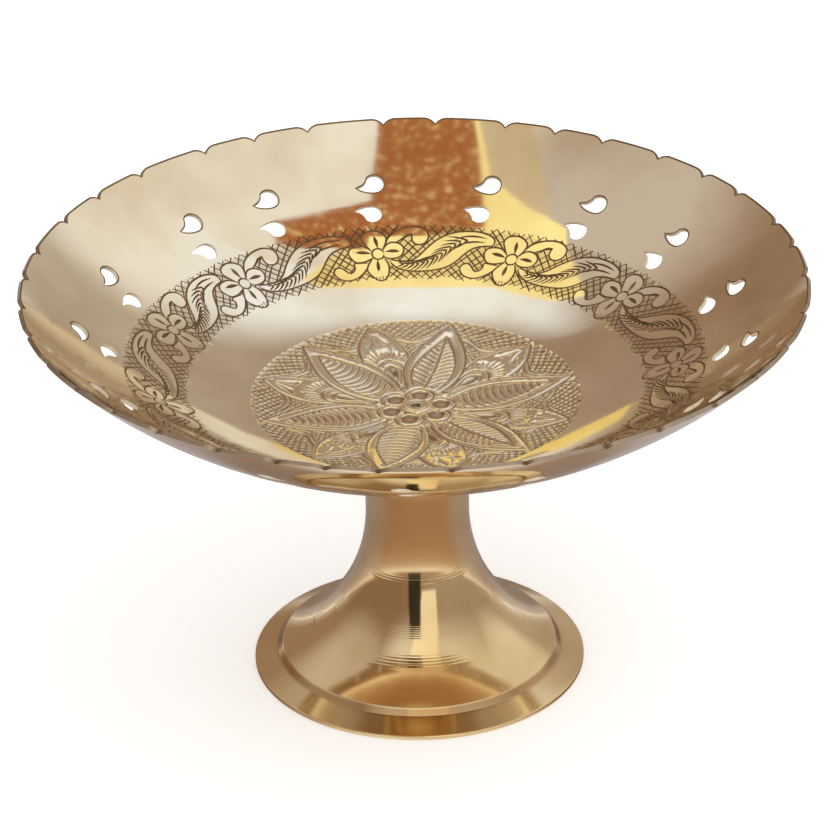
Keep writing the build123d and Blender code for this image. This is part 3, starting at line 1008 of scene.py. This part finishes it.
def turned_piece(name, outline, steps, material):
    """A lathe job: Geometry Nodes carry an outline of (radius, height) round the upright axis."""
    profile = bpy.data.meshes.new(name + "_outline")
    profile.from_pydata([(r * MM, 0, z * MM) for r, z in outline], [], [])
    piece = in_scene(name, profile)
    tree = bpy.data.node_groups.new(name + "_turning", "GeometryNodeTree")
    sockets = tree.interface
    sockets.new_socket("Outline", in_out="INPUT", socket_type="NodeSocketGeometry")
    steps_input = sockets.new_socket("Steps", in_out="INPUT", socket_type="NodeSocketInt")
    count_input = sockets.new_socket("Outline points", in_out="INPUT", socket_type="NodeSocketInt")
    sockets.new_socket("Piece", in_out="OUTPUT", socket_type="NodeSocketGeometry")
    inputs = add_node(tree, "NodeGroupInput")
    # A grid has one column for each step and one row for each outline point, and each of its
    # points finds from its own index which outline point it is and how far round it goes.
    figures = {
        "steps": inputs.outputs["Steps"],
        "points": inputs.outputs["Outline points"],
        "index": add_node(tree, "GeometryNodeInputIndex").outputs["Index"],
    }
    for figure, operation, first, second in (
        ("columns", "ADD", "steps", 1.0),
        ("rows", "ADD", "points", 1.0),
        ("columns before", "DIVIDE", "index", "rows"),
        ("column", "FLOOR", "columns before", 0.0),
        ("row", "MODULO", "index", "rows"),
        ("outline point", "MODULO", "row", "points"),
        ("share", "DIVIDE", "column", "steps"),
        ("turn", "MULTIPLY", "share", 2 * math.pi),
    ):
        settings = {"operation": operation}
        links = {0: figures[first]}
        if isinstance(second, str):
            links[1] = figures[second]
        else:
            settings[1] = second
        figures[figure] = add_node(tree, "ShaderNodeMath", settings, links).outputs[0]
    grid = add_node(tree, "GeometryNodeMeshGrid",
                    links={"Vertices X": figures["columns"], "Vertices Y": figures["rows"]})
    place = add_node(tree, "GeometryNodeInputPosition").outputs["Position"]
    sample = add_node(
        tree, "GeometryNodeSampleIndex", {"data_type": "FLOAT_VECTOR", "domain": "POINT"},
        {"Geometry": inputs.outputs["Outline"], "Value": place, "Index": figures["outline point"]})
    carry = add_node(tree, "ShaderNodeVectorRotate", {"rotation_type": "Z_AXIS"},
                     {"Vector": sample.outputs[0], "Angle": figures["turn"]})
    placed = add_node(tree, "GeometryNodeSetPosition",
                      links={"Geometry": grid.outputs["Mesh"], "Position": carry.outputs[0]})
    merged = add_node(tree, "GeometryNodeMergeByDistance", {"Distance": 0.001 * MM},
                      {"Geometry": placed.outputs[0]})
    smooth = add_node(tree, "GeometryNodeSetShadeSmooth", links={"Geometry": merged.outputs[0]})
    real = add_node(tree, "GeometryNodeRealizeInstances", links={"Geometry": smooth.outputs[0]})
    coated = add_node(tree, "GeometryNodeSetMaterial", {"Material": material},
                      {"Geometry": real.outputs[0]})
    add_node(tree, "NodeGroupOutput", links={"Piece": coated.outputs[0]})
    modifier = piece.modifiers.new("turning", "NODES")
    modifier.node_group = tree
    modifier[steps_input.identifier] = steps
    modifier[count_input.identifier] = len(outline)
    evaluated = piece.evaluated_get(bpy.context.evaluated_depsgraph_get())
    mesh = bpy.data.meshes.new_from_object(evaluated)
    piece.modifiers.clear()
    piece.data = mesh
    return piece


def rounded(outline, closeness=0.06, steps=5):
    """A closed outline whose corners, given as (radius, height, round), are softened."""
    points = []
    count = len(outline)
    for number, corner in enumerate(outline):
        here = np.array(corner[:2], float)
        if len(corner) < 3:
            points.append(here)
            continue
        before = np.array(outline[number - 1][:2], float) - here
        after = np.array(outline[(number + 1) % count][:2], float) - here
        before /= np.linalg.norm(before)
        after /= np.linalg.norm(after)
        half = math.acos(np.clip(before @ after, -1, 1)) / 2
        back = corner[2] / math.tan(half)
        start, end = here + before * back, here + after * back
        points.append(start + before * closeness)
        for step in range(steps + 1):
            t = step / steps
            points.append((1 - t) ** 2 * start + 2 * t * (1 - t) * here + t**2 * end)
        points.append(end + after * closeness)
    return points


# The foot's outline, from the same arcs as its casting: the ring that it stands on, the flange,
# the shoulder, the lower flare with its lathe lines, the neck, the upper flare and the seat that
# fits the dish, then back down inside.
foot_wall = 1.6
neck_radius = 13.65
neck_low, neck_high = 45.0, 50.0
sharp = 0.05
lower_arc, upper_arc = 46.4, 60.0
lower_flare = (neck_radius + lower_arc, neck_low)
upper_flare = (neck_radius + upper_arc, neck_high)
foot_top, roof = 73.4, 70.4
shoulder_height = 5.1
shoulder_radius = lower_flare[0] - math.sqrt(lower_arc**2 - (shoulder_height - neck_low) ** 2)
crease_radius, crease_height = shoulder_radius + 1.4, 3.45
foot_radius, flange_edge, base_land = crease_radius + 6.2, 1.0, 2.0
seat_arc = floor_arc + sheet + 0.15
seat_land = 8.5
# The lathe lines: each patch's lowest and highest line, their pitch and their depth.
lathe_lines = ((40.2, 41.0, 0.8, 0.02), (29.6, 32.4, 0.7, 0.012), (17.0, 21.2, 0.47, 0.016),
               (11.0, 14.6, 0.62, 0.016))


def on_flare(centre, arc, height):
    """A flare's radius at this height of the foot."""
    return centre[0] - math.sqrt(arc**2 - (height - centre[1]) ** 2)


def lathe_line(height):
    """How deep the lathe lines are at this height of the foot."""
    for low, high, pitch, depth in lathe_lines:
        if low < height < high:
            fade = min(1, (height - low) / pitch, (high - height) / pitch)
            return depth * fade * (0.5 - 0.5 * math.cos(2 * math.pi * (height - low) / pitch))
    return 0.0


def seat_height(radius):
    """The height of the seat that carries the dish."""
    return floor_centre[1] - math.sqrt(seat_arc**2 - radius**2)


# The upper flare ends where it meets the seat.
top_height = foot_top
for _ in range(20):
    top_height = seat_height(on_flare(upper_flare, upper_arc, top_height))
inner_scale = 1 + foot_wall / lower_arc
inner_shoulder = tuple(
    c + (p - c) * inner_scale for c, p in zip(lower_flare, (shoulder_radius, shoulder_height)))
foot_outline = [
    (foot_radius - base_land, 0.0, sharp),
    (foot_radius, 0.0, sharp),
    (foot_radius, flange_edge, 0.4),
    (crease_radius, crease_height, 0.12),
    (shoulder_radius, shoulder_height, 0.5),
]
plain_step, fine_step = 0.75, 0.09
height = shoulder_height + 0.6
while height < top_height - 0.15:
    centre, arc = (lower_flare, lower_arc) if height < neck_low else (upper_flare, upper_arc)
    radius = neck_radius if neck_low <= height <= neck_high else on_flare(centre, arc, height)
    foot_outline.append((radius - lathe_line(height), height))
    in_lines = any(low <= height <= high for low, high, pitch, depth in lathe_lines)
    height += fine_step if in_lines else plain_step
edge = on_flare(upper_flare, upper_arc, top_height)
foot_outline.append((edge, top_height, 0.1))
for radius in np.linspace(edge, seat_land, 8)[1:-1]:
    foot_outline.append((radius, seat_height(radius)))
foot_outline += [(seat_land, foot_top, sharp), (stud_bore, foot_top, sharp), (stud_bore, roof, sharp)]
upper_cored, lower_cored = upper_arc + foot_wall, lower_arc + foot_wall
foot_outline.append((on_flare(upper_flare, upper_cored, roof), roof, 0.3))
for height in np.arange(roof - 2, neck_high, -2.0):
    foot_outline.append((on_flare(upper_flare, upper_cored, height), height))
for height in (neck_high, neck_low):
    foot_outline.append((neck_radius - foot_wall, height))
for height in np.arange(neck_low - 2, inner_shoulder[1] + 0.5, -1.5):
    foot_outline.append((on_flare(lower_flare, lower_cored, height), height))
foot_outline.append(inner_shoulder + (0.5,))
foot = turned_piece("turned_foot", rounded(foot_outline), 200, turned_brass)
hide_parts("foot")
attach(foot, "root")

# ---------------------------------------------------------------------------
# The stud: a brass screw with a low round head, a punched dimple and a thin raised lip. It goes
# down through the dish and the foot's crown, and its head is the boss of the medallion.
# ---------------------------------------------------------------------------
# Brass rod, filed by hand and lightly buffed: a satin gold, black in the dimple.
stud_brass = polished_brass("filed_stud_brass", "#EFE2C6", "#D8C29C", "#3A2A1A", 0.14, 0.4)
head_top = floor_level + 0.75
shank_radius, shank_end = 2.5, 63.4
dimple_radius, dimple_reach = 1.25, 1.75
stud_outline = [
    (0.0, head_top - 0.95), (0.6, head_top - 0.9), (1.0, head_top - 0.6),
    (1.3, head_top - 0.1, 0.1), (1.8, head_top - 0.16), (2.5, head_top - 0.14),
    (2.9, head_top - 0.03), (3.3, head_top), (3.6, head_top - 0.05), (3.8, head_top - 0.22),
    (3.95, head_top - 0.5), (4.0, floor_level, sharp), (shank_radius, floor_level, sharp),
    (shank_radius, shank_end, 0.25), (0.0, shank_end),
]
stud = turned_piece("round_headed_stud", rounded(stud_outline), 64, stud_brass)
# The dimple is coloured nearly black.
dimple_darkening = stud.data.attributes.new("residue", "FLOAT", "POINT")
for point, value in zip(stud.data.vertices, dimple_darkening.data):
    x, y, z = point.co
    in_dimple = math.hypot(x, y) < dimple_radius * MM and z > (head_top - dimple_reach) * MM
    value.value = 1.0 if in_dimple else 0.0
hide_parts("centre_stud")
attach(stud, "root")

# ---------------------------------------------------------------------------
# The washer and nut: stamped and pressed from mild steel, zinc-plated and since dulled to a grey
# satin with faint spangles. They pull the stud tight from inside the foot's hollow neck.
# ---------------------------------------------------------------------------
zinc = mottled_metal("zinc_plated_steel", "ShaderNodeTexVoronoi", 1.2, 0.0,
                     ("#B9BAB4", "#9C9C95"), 0.38, 1.0)
for node_name in ("washer", "hex_nut"):
    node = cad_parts[node_name]
    for slot in node.material_slots:
        slot.material = zinc

# ---------------------------------------------------------------------------
# The studio: a pale floor, a soft even room that is brighter to the upper right, and the camera.
# ---------------------------------------------------------------------------
floor_mesh = bpy.data.meshes.new("floor")
floor_half = 6.0
floor_corners = [(x * floor_half, y * floor_half, 0) for x, y in ((-1, -1), (1, -1), (1, 1), (-1, 1))]
floor_mesh.from_pydata(floor_corners, [], [(0, 1, 2, 3)])
floor = in_scene("floor", floor_mesh)
# White paper, matt. For the brass's mirrored rays its colour holds painted shade: dimmer where
# the dish and the foot would shade it, darkest close round the foot, and far off, and a painted
# warm light in front of the foot, where they would throw brass-coloured light down on it. Close
# in front of the foot a painted lit patch stands for the lamp reaching it.
paper = bpy.data.materials.new("white_paper")
paper.use_nodes = True
tree = paper.node_tree
shader = tree.nodes["Principled BSDF"]
shader.inputs["Roughness"].default_value = 0.9
place = add_node(tree, "ShaderNodeTexCoord").outputs["Object"]
parts = add_node(tree, "ShaderNodeSeparateXYZ", links={0: place})
reach = add_node(tree, "ShaderNodeVectorMath", {"operation": "LENGTH"}, {0: place})
signals = {path.name: path for path in add_node(tree, "ShaderNodeLightPath").outputs}
# Soft steps over the paper, each from where it starts to where it is full: by the distance from
# the middle of the foot, and by how far in front of it.
for signal, output, low, high in (
    ("away", reach.outputs["Value"], 0.1, 0.7),
    ("nearer", reach.outputs["Value"], 1.3, 0.6),
    ("contact shade", reach.outputs["Value"], 0.09, 0.06),
    ("in front", parts.outputs["Y"], 0.02, -0.07),
    ("facing lamp", parts.outputs["Y"], -0.02, -0.05),
):
    signals[signal] = add_node(
        tree, "ShaderNodeMapRange",
        {"interpolation_type": "SMOOTHSTEP", "From Min": low, "From Max": high},
        {"Value": output}).outputs[0]
for signal, operation, first, second in (
    ("mirrored", "MAXIMUM", "Is Glossy Ray", "Is Transmission Ray"),
    ("pool", "MULTIPLY", "away", "nearer"),
    ("glint", "MULTIPLY", "facing lamp", "contact shade"),
    ("open paper", "MAXIMUM", "pool", "glint"),
    ("lit", "MULTIPLY", "mirrored", "open paper"),
    ("seen", "MAXIMUM", "Is Camera Ray", "lit"),
    ("shade", "SUBTRACT", "mirrored", "lit"),
):
    signals[signal] = add_node(tree, "ShaderNodeMath", {"operation": operation},
                               {0: signals[first], 1: signals[second]}).outputs[0]
# Painted shade colours: greyer at the sides, darker close round the foot, and warm in front.
side_shade_colour = add_node(tree, "ShaderNodeMix",
                       {"data_type": "RGBA", 6: linear("#C4BCC2"), 7: linear("#A8978C")},
                       {0: signals["contact shade"]})
shade_colour = add_node(tree, "ShaderNodeMix", {"data_type": "RGBA", 7: linear("#C4A288")},
                        {0: signals["in front"], 6: side_shade_colour.outputs[2]})
paper_colour = add_node(tree, "ShaderNodeMix", {"data_type": "RGBA", 6: linear("#F4F3F0")},
                        {0: signals["shade"], 7: shade_colour.outputs[2]})
tree.links.new(paper_colour.outputs[2], shader.inputs["Base Color"])
paper_glow = 0.32
lift = add_node(tree, "ShaderNodeMath", {"operation": "MULTIPLY", 1: paper_glow}, {0: signals["seen"]})
shader.inputs["Emission Color"].default_value = (1, 1, 1, 1)
tree.links.new(lift.outputs[0], shader.inputs["Emission Strength"])
floor_mesh.materials.append(paper)

# The room: warm and dim low down, lighter to the right, bright overhead and to the front right.
# The paper's white shows wherever the background does, and lights the paper itself evenly.
world = bpy.data.worlds.new("soft_room")
bpy.context.scene.world = world
world.use_nodes = True
tree = world.node_tree
background = tree.nodes["Background"]
ray = add_node(tree, "ShaderNodeTexCoord").outputs["Generated"]
signals = {path.name: path for path in add_node(tree, "ShaderNodeLightPath").outputs}
# Soft glows: the way that each lies, how near to that way it starts and is full, and how strong
# it gets.
for signal, way, low, high, most in (
    ("front lamp", (0.4, -0.5, 0.77), 0.38, 0.8, 1.0),
    ("ceiling", (0, 0, 1), 0.35, 0.8, 1.0),
    ("left window", (-0.62, 0.1, 0.78), 0.74, 0.98, 0.45),
    ("right window", (0.72, 0.33, 0.61), 0.87, 0.98, 0.95),
    ("right side", (1, 0, 0), -0.6, 0.8, 1.0),
    ("low down", (0, 0, 1), 0.1, 0.0, 1.0),
    ("far side", (0, 1, 0), 0.1, 0.6, 0.35),
):
    nearness = add_node(tree, "ShaderNodeVectorMath",
                        {"operation": "DOT_PRODUCT", 1: tuple(Vector(way).normalized())}, {0: ray})
    signals[signal] = add_node(
        tree, "ShaderNodeMapRange",
        {"interpolation_type": "SMOOTHSTEP", "From Min": low, "From Max": high, "To Max": most},
        {"Value": nearness.outputs["Value"]}).outputs[0]
for signal, operation, first, second in (
    ("overhead", "MULTIPLY", "front lamp", "ceiling"),
    ("overhead or left", "MAXIMUM", "overhead", "left window"),
    ("bright", "MAXIMUM", "overhead or left", "right window"),
    ("mirrored", "MAXIMUM", "Is Glossy Ray", "Is Transmission Ray"),
    ("backdrop", "MULTIPLY", "low down", "far side"),
    ("mirrored backdrop", "MULTIPLY", "mirrored", "backdrop"),
    ("seen", "MAXIMUM", "Is Camera Ray", "Is Diffuse Ray"),
    ("white", "MAXIMUM", "mirrored backdrop", "seen"),
):
    signals[signal] = add_node(tree, "ShaderNodeMath", {"operation": operation},
                               {0: signals[first], 1: signals[second]}).outputs[0]
room_walls = add_node(tree, "ShaderNodeMix",
                      {"data_type": "RGBA", 6: linear("#A28978"), 7: linear("#C5BBB2")},
                      {0: signals["right side"]})
room = add_node(tree, "ShaderNodeMix", {"data_type": "RGBA", 7: linear("#FBFCFF")},
                {0: signals["bright"], 6: room_walls.outputs[2]})
final = add_node(tree, "ShaderNodeMix", {"data_type": "RGBA", 7: (1, 1, 1, 1)},
                 {0: signals["white"], 6: room.outputs[2]})
tree.links.new(final.outputs[2], background.inputs["Color"])
background.inputs["Strength"].default_value = 1.0


def card(name, corners, colour, strength, flecks=None, fades=()):
    """A flat card beside or above the object, which only its mirror-bright brass picks up. Each
    fade is an axis and the places on it where the card is gone and where it is full."""
    mesh = bpy.data.meshes.new(name)
    mesh.from_pydata(corners, [], [tuple(range(len(corners)))])
    board = in_scene(name, mesh)
    board.visible_camera = False
    board.visible_diffuse = False
    board.visible_shadow = False
    face = bpy.data.materials.new(name)
    face.use_nodes = True
    face_tree = face.node_tree
    face_tree.nodes.clear()
    emit = add_node(face_tree, "ShaderNodeEmission", {"Color": colour, "Strength": strength})
    place = add_node(face_tree, "ShaderNodeTexCoord").outputs["Object"]
    if flecks:
        cloud = add_node(face_tree, "ShaderNodeTexNoise",
                         {"Scale": 34.0, "Detail": 4.0, "Roughness": 0.7}, {"Vector": place})
        fleck = add_node(face_tree, "ShaderNodeMapRange", {"From Min": 0.54, "From Max": 0.64},
                         {"Value": cloud.outputs["Fac"]})
        mottled = add_node(face_tree, "ShaderNodeMix", {"data_type": "RGBA", 6: colour, 7: flecks},
                           {0: fleck.outputs[0]})
        face_tree.links.new(mottled.outputs[2], emit.inputs["Color"])
    surface = emit.outputs[0]
    gone = add_node(face_tree, "ShaderNodeBsdfTransparent").outputs[0]
    parts = add_node(face_tree, "ShaderNodeSeparateXYZ", links={0: place})
    for axis, none_at, full_at in fades:
        amount = add_node(face_tree, "ShaderNodeMapRange",
                          {"interpolation_type": "SMOOTHSTEP", "From Min": none_at,
                           "From Max": full_at}, {"Value": parts.outputs[axis]})
        surface = add_node(face_tree, "ShaderNodeMixShader",
                           links={0: amount.outputs[0], 1: gone, 2: surface}).outputs[0]
    add_node(face_tree, "ShaderNodeOutputMaterial", links={"Surface": surface})
    mesh.materials.append(face)


def overhead_card(name, height, corners, *rest, **more):
    """A card that hangs level at one height."""
    card(name, [(x, y, height) for x, y in corners], *rest, **more)


# Overhead: brown, tan and yellow boards beside a white one. In front: a bright doorway and a
# dark figure.
brown, straw = linear("#AE6C44"), linear("#F5DFA4")
overhead_card("brown_board", 1.3, ((-0.28, -0.53), (0.15, -0.53), (0.15, 0.14), (-0.25, 0.12)),
              brown, 1.0, straw)
overhead_card("brown_arm", 1.3, ((0.15, -0.05), (0.3, 0.03), (0.5, 0.17), (0.48, 0.28), (0.15, 0.25)),
              brown, 1.0, straw)
overhead_card("yellow_board", 1.31,
              ((-0.56, 0.27), (-0.46, 0.12), (-0.3, -0.13), (-0.3, -0.6), (0.25, -0.6),
               (0.14, -0.5), (0.14, -0.05), (0.33, 0.55), (0.25, 0.64), (-0.2, 0.66),
               (-0.36, 0.86), (-0.52, 0.86)),
              linear("#FFF3B6"), 1.18)
overhead_card("tan_board", 1.32, ((-0.56, -0.6), (-0.24, -0.6), (-0.2, -0.06), (-0.5, 0.2)),
              linear("#DCCDB6"), 1.0)
overhead_card("white_board", 1.33,
              ((-0.6, 0.42), (1.1, 0.42), (1.1, 1.9), (0.35, 1.6), (-0.22, 1.45), (-0.6, 1.2)),
              linear("#E4EDFF"), 1.35, fades=(("X", 1.05, 0.4), ("X", -0.6, -0.25), ("Y", 1.6, 0.9)))
card("doorway", [(0.17, -1.7, 0.35), (0.95, -1.7, 0.35), (0.8, -1.7, 2.3), (-0.5, -1.7, 2.3)],
     linear("#FFFDF1"), 1.3)
card("figure", [(-0.5, -1.45, 0.0), (0.1, -1.45, 0.0), (0.04, -1.45, 1.15), (-0.34, -1.45, 1.15)],
     linear("#3F3C35"), 1.0)

lamp_data = bpy.data.lights.new("soft_lamp", "AREA")
lamp_data.shape = "DISK"
lamp_data.size = 1.0
lamp_data.energy = 3.5
lamp = in_scene("soft_lamp", lamp_data)
lamp.location = (0.6, -0.6, 1.4)
lamp.rotation_euler = (Vector((0, 0, 0.08)) - lamp.location).to_track_quat("-Z", "Y").to_euler()
lamp.visible_glossy = False

# The camera stands a metre off, 31 degrees above the foot.
camera_data = bpy.data.cameras.new("camera")
camera_data.sensor_width = 36.0
camera_data.lens = 193.68
camera_data.clip_end = 50
camera = in_scene("camera", camera_data)
camera_place = (0.0, -1.02417, 0.61715)
pitch, yaw, roll = 0.4888, -0.0005, -0.0152
forward = Vector((math.sin(yaw) * math.cos(pitch), math.cos(yaw) * math.cos(pitch), -math.sin(pitch)))
level_right = forward.cross(Vector((0, 0, 1))).normalized()
level_up = level_right.cross(forward)
right = level_right * math.cos(roll) + level_up * math.sin(roll)
up = level_up * math.cos(roll) - level_right * math.sin(roll)
turned = Matrix((right, up, -forward)).transposed().to_4x4()
camera.matrix_world = Matrix.Translation(camera_place) @ turned
bpy.context.scene.camera = camera
bpy.context.scene.view_settings.view_transform = "Standard"
